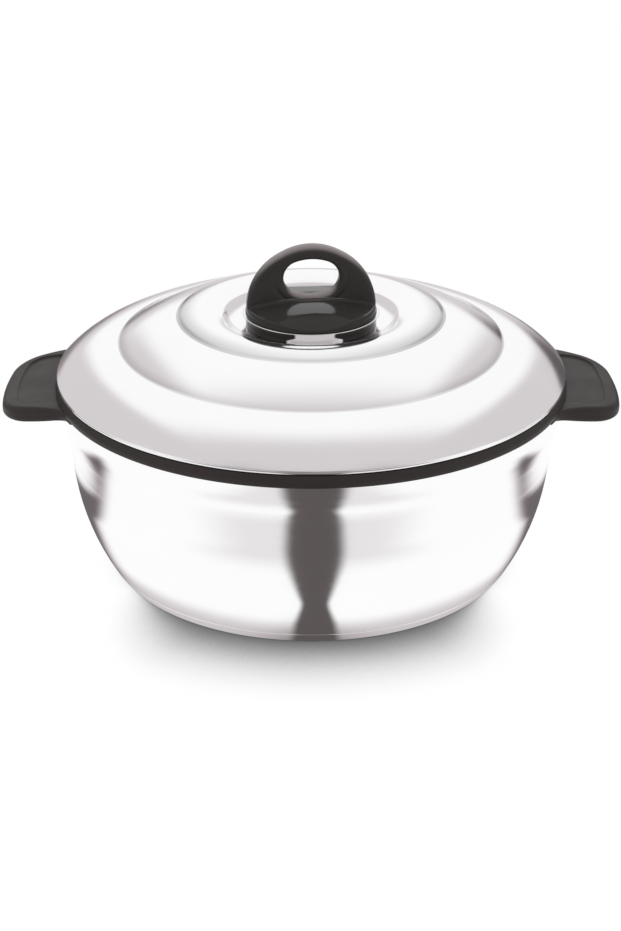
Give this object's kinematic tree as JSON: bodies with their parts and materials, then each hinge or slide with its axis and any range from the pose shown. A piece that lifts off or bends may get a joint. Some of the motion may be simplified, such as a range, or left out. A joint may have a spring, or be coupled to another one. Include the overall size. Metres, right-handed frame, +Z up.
{
  "type": "insulated serving casserole",
  "caption": "Round insulated serving casserole with a polished steel bowl, black collar and side grips, and a stepped lift-off lid with a black finger-loop knob.",
  "frame": {"origin": "middle of the flat foot the bowl stands on", "axes": "+Z up through the knob, +X through a side grip, -Y towards the front"},
  "size_m": [0.3278, 0.2716, 0.175],
  "materials": {
    "bowl_steel": "mirror-polished stainless sheet",
    "liner_steel": "satin stainless sheet",
    "lid_steel": "mirror-polished stainless sheet",
    "cup_chrome": "bright chrome",
    "collar_plastic": "satin black moulding",
    "knob_plastic": "glossy black moulding",
    "gasket_rubber": "grey silicone",
    "insulation": "rigid foam, out of sight",
    "screw_steel": "zinc-plated",
    "insert_brass": "machined"
  },
  "bodies": {
    "base": {"outer_bowl": "bowl_steel", "base_cap": "bowl_steel", "inner_bowl": "liner_steel", "bowl_foam": "insulation", "bowl_port_plug": "collar_plastic", "rim_collar": "collar_plastic"},
    "lid": {"lid_outer_shell": "lid_steel", "lid_inner_shell": "liner_steel", "lid_foam": "insulation", "lid_rim_ring": "collar_plastic", "lid_gasket": "gasket_rubber", "lid_port_plug": "collar_plastic", "knob_base_ring": "cup_chrome", "knob": "knob_plastic", "knob_screws": "screw_steel", "knob_washers": "screw_steel", "knob_inserts": "insert_brass"}
  },
  "joints": [
    {"name": "lid_lift", "type": "slide", "parent": "base", "child": "lid", "axis": [0, 0, 1], "range_m": [0, 0.15]}
  ]
}
